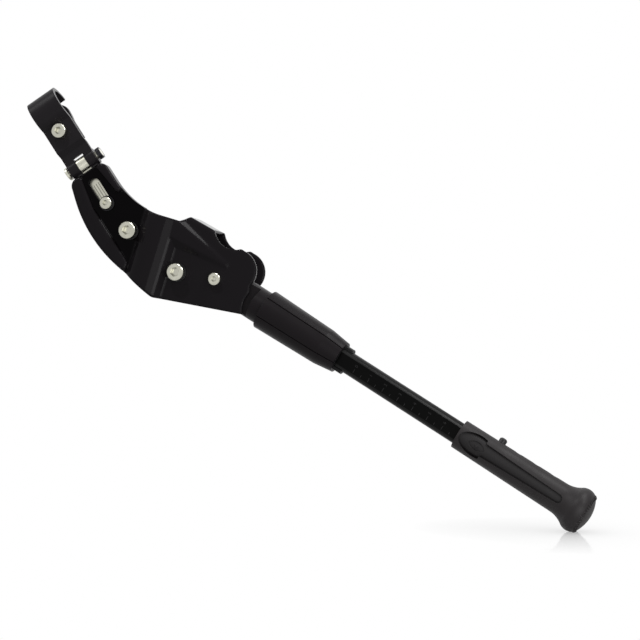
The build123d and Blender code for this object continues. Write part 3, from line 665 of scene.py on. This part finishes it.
class KICKSTAND_OT_fasteners(bpy.types.Operator):
    """Build the socket screws, and finish nuts, washers, pin and sliding arm"""

    bl_idname = "kickstand.fasteners"
    bl_label = "Fasteners"

    def execute(self, context):
        finish = context.scene.kickstand_finish
        # Bright zinc on turned heads is smooth; on strip and nuts it is duller.
        bright = plated_steel("bright_zinc_on_screws", finish.zinc, roughs=(0.16, 0.3))
        screw_row("clamp_screws", "clamp_bolts", "bracket", CAP_M6, None, bright)
        screw_row("pivot_cap_screw", "pivot_screw", "bracket", CAP_M4, SHORT_THREAD, bright)
        screw_row("slot_cap_screw", "slot_screw", "slider", CAP_M4, SHORT_THREAD, bright)
        screw_row("strap_cap_screw", "strap_screw", "hook", CAP_M5, None, bright)
        zinc = plated_steel("clear_zinc_on_steel", finish.zinc, roughs=(0.25, 0.42))
        dress(zinc, "slider_arm", "hinge_pin", "pivot_tube", "pivot_nut", "clamp_nuts", "slot_nut")
        dress(zinc, "strap_nut", "detent_plunger", "spring_seat")
        # Black oxide is thin, so the metal's sheen shows through it.
        black = plated_steel("black_oxide_on_steel", finish.oxide, roughs=(0.3, 0.5))
        dress(black, "clamp_washers", "slot_washer", "hinge_cap", "grub_screw")
        # Rolled spring steel is grey and evenly smooth under its oil.
        sprung = plated_steel("oiled_spring_steel", finish.spring, roughs=(0.3, 0.4))
        dress(sprung, "detent_spring")
        bend_leaf(sprung)
        return {"FINISHED"}


class KICKSTAND_OT_leg(bpy.types.Operator):
    """Finish the leg's head, tube and bush, and mark the tube's height scale"""

    bl_idname = "kickstand.leg"
    bl_label = "Leg"

    def execute(self, context):
        finish, sizes = context.scene.kickstand_finish, context.scene.kickstand_sizes
        # Paint on a casting is even and satin, with soft edges.
        paint = satin_coat(
            "satin_grey_paint_on_casting", finish.casting, roughs=(0.32, 0.42), grain=0.35 * MM,
            gloss=0.08)
        dress(paint, "leg_head")
        # Anodised drawn tube has a long soft streak on its round sides, and painted shade makes its
        # flats deep black.
        anodised = satin_coat(
            "black_anodised_aluminium", finish.anodising, roughs=(0.22, 0.32), grain=0.3 * MM,
            gloss=0.05, shade_mask=flat_mask, shade_colour=finish.flats)
        dress(anodised, "leg_tube")
        # Moulded nylon is a little dull.
        bush = satin_coat(
            "moulded_black_nylon", finish.bush, roughs=(0.4, 0.55), grain=0.5 * MM, gloss=0.14)
        dress(bush, "guide_bush")
        # Print on anodising is a faint flat grey.
        marks = satin_coat(
            "pale_print_on_anodising", finish.marks, roughs=(0.5, 0.6), grain=0.2 * MM, gloss=0.1)
        finish_piece(scale_marks(sizes.tick_pitch), "height_scale", marks, "leg")
        return {"FINISHED"}


class KICKSTAND_OT_foot(bpy.types.Operator):
    """Finish the moulded foot and its button, and add the grip teeth round its sole"""

    bl_idname = "kickstand.foot"
    bl_label = "Foot"

    def execute(self, context):
        finish, sizes = context.scene.kickstand_finish, context.scene.kickstand_sizes
        # Nylon from a sparked mould has a fine grit and broad highlights; painted shade darkens its
        # front recess.
        nylon = satin_coat(
            "moulded_grey_nylon", finish.foot, roughs=(0.45, 0.58), grain=sizes.grit, gloss=0.2,
            shade_mask=recess_mask, shade_colour=finish.recess)
        dress(nylon, "foot")
        # Acetal is smoother, so the button has a small clear highlight.
        acetal = satin_coat(
            "polished_black_acetal", finish.button, roughs=(0.25, 0.35), grain=sizes.grit,
            gloss=0.25)
        dress(acetal, "lock_button")
        finish_piece(rim_teeth(sizes.teeth), "sole_teeth", nylon, "sliding_foot")
        return {"FINISHED"}


class KICKSTAND_OT_stage(bpy.types.Operator):
    """Build the camera, the soft lamps, the white room and the floor"""

    bl_idname = "kickstand.stage"
    bl_label = "Stage"

    def execute(self, context):
        scene = context.scene
        scene.view_settings.view_transform = "Standard"
        place_camera(scene)
        hang_lamps(scene)
        light_room(scene)
        lay_floor(scene)
        return {"FINISHED"}


PIECES = (
    KICKSTAND_OT_bracket,
    KICKSTAND_OT_hook,
    KICKSTAND_OT_fasteners,
    KICKSTAND_OT_leg,
    KICKSTAND_OT_foot,
    KICKSTAND_OT_stage,
)


class KICKSTAND_PT_sidebar(bpy.types.Panel):
    """Kickstand finishes, sizes and pieces"""

    bl_label = "Kickstand"
    bl_space_type = "VIEW_3D"
    bl_region_type = "UI"
    bl_category = "Kickstand"

    def draw(self, context):
        for group in (context.scene.kickstand_finish, context.scene.kickstand_sizes):
            for key in group.__annotations__:
                self.layout.prop(group, key)
        for piece in PIECES:
            self.layout.operator(piece.bl_idname)


CLASSES = (KickstandFinish, KickstandSizes, *PIECES, KICKSTAND_PT_sidebar)


def register():
    for each in CLASSES:
        bpy.utils.register_class(each)
    bpy.types.Scene.kickstand_finish = bpy.props.PointerProperty(type=KickstandFinish)
    bpy.types.Scene.kickstand_sizes = bpy.props.PointerProperty(type=KickstandSizes)


def unregister():
    del bpy.types.Scene.kickstand_sizes
    del bpy.types.Scene.kickstand_finish
    for each in reversed(CLASSES):
        bpy.utils.unregister_class(each)


def main():
    register()
    bpy.ops.kickstand.bracket()
    bpy.ops.kickstand.hook()
    bpy.ops.kickstand.fasteners()
    bpy.ops.kickstand.leg()
    bpy.ops.kickstand.foot()
    bpy.ops.kickstand.stage()


if __name__ == "__main__":
    main()
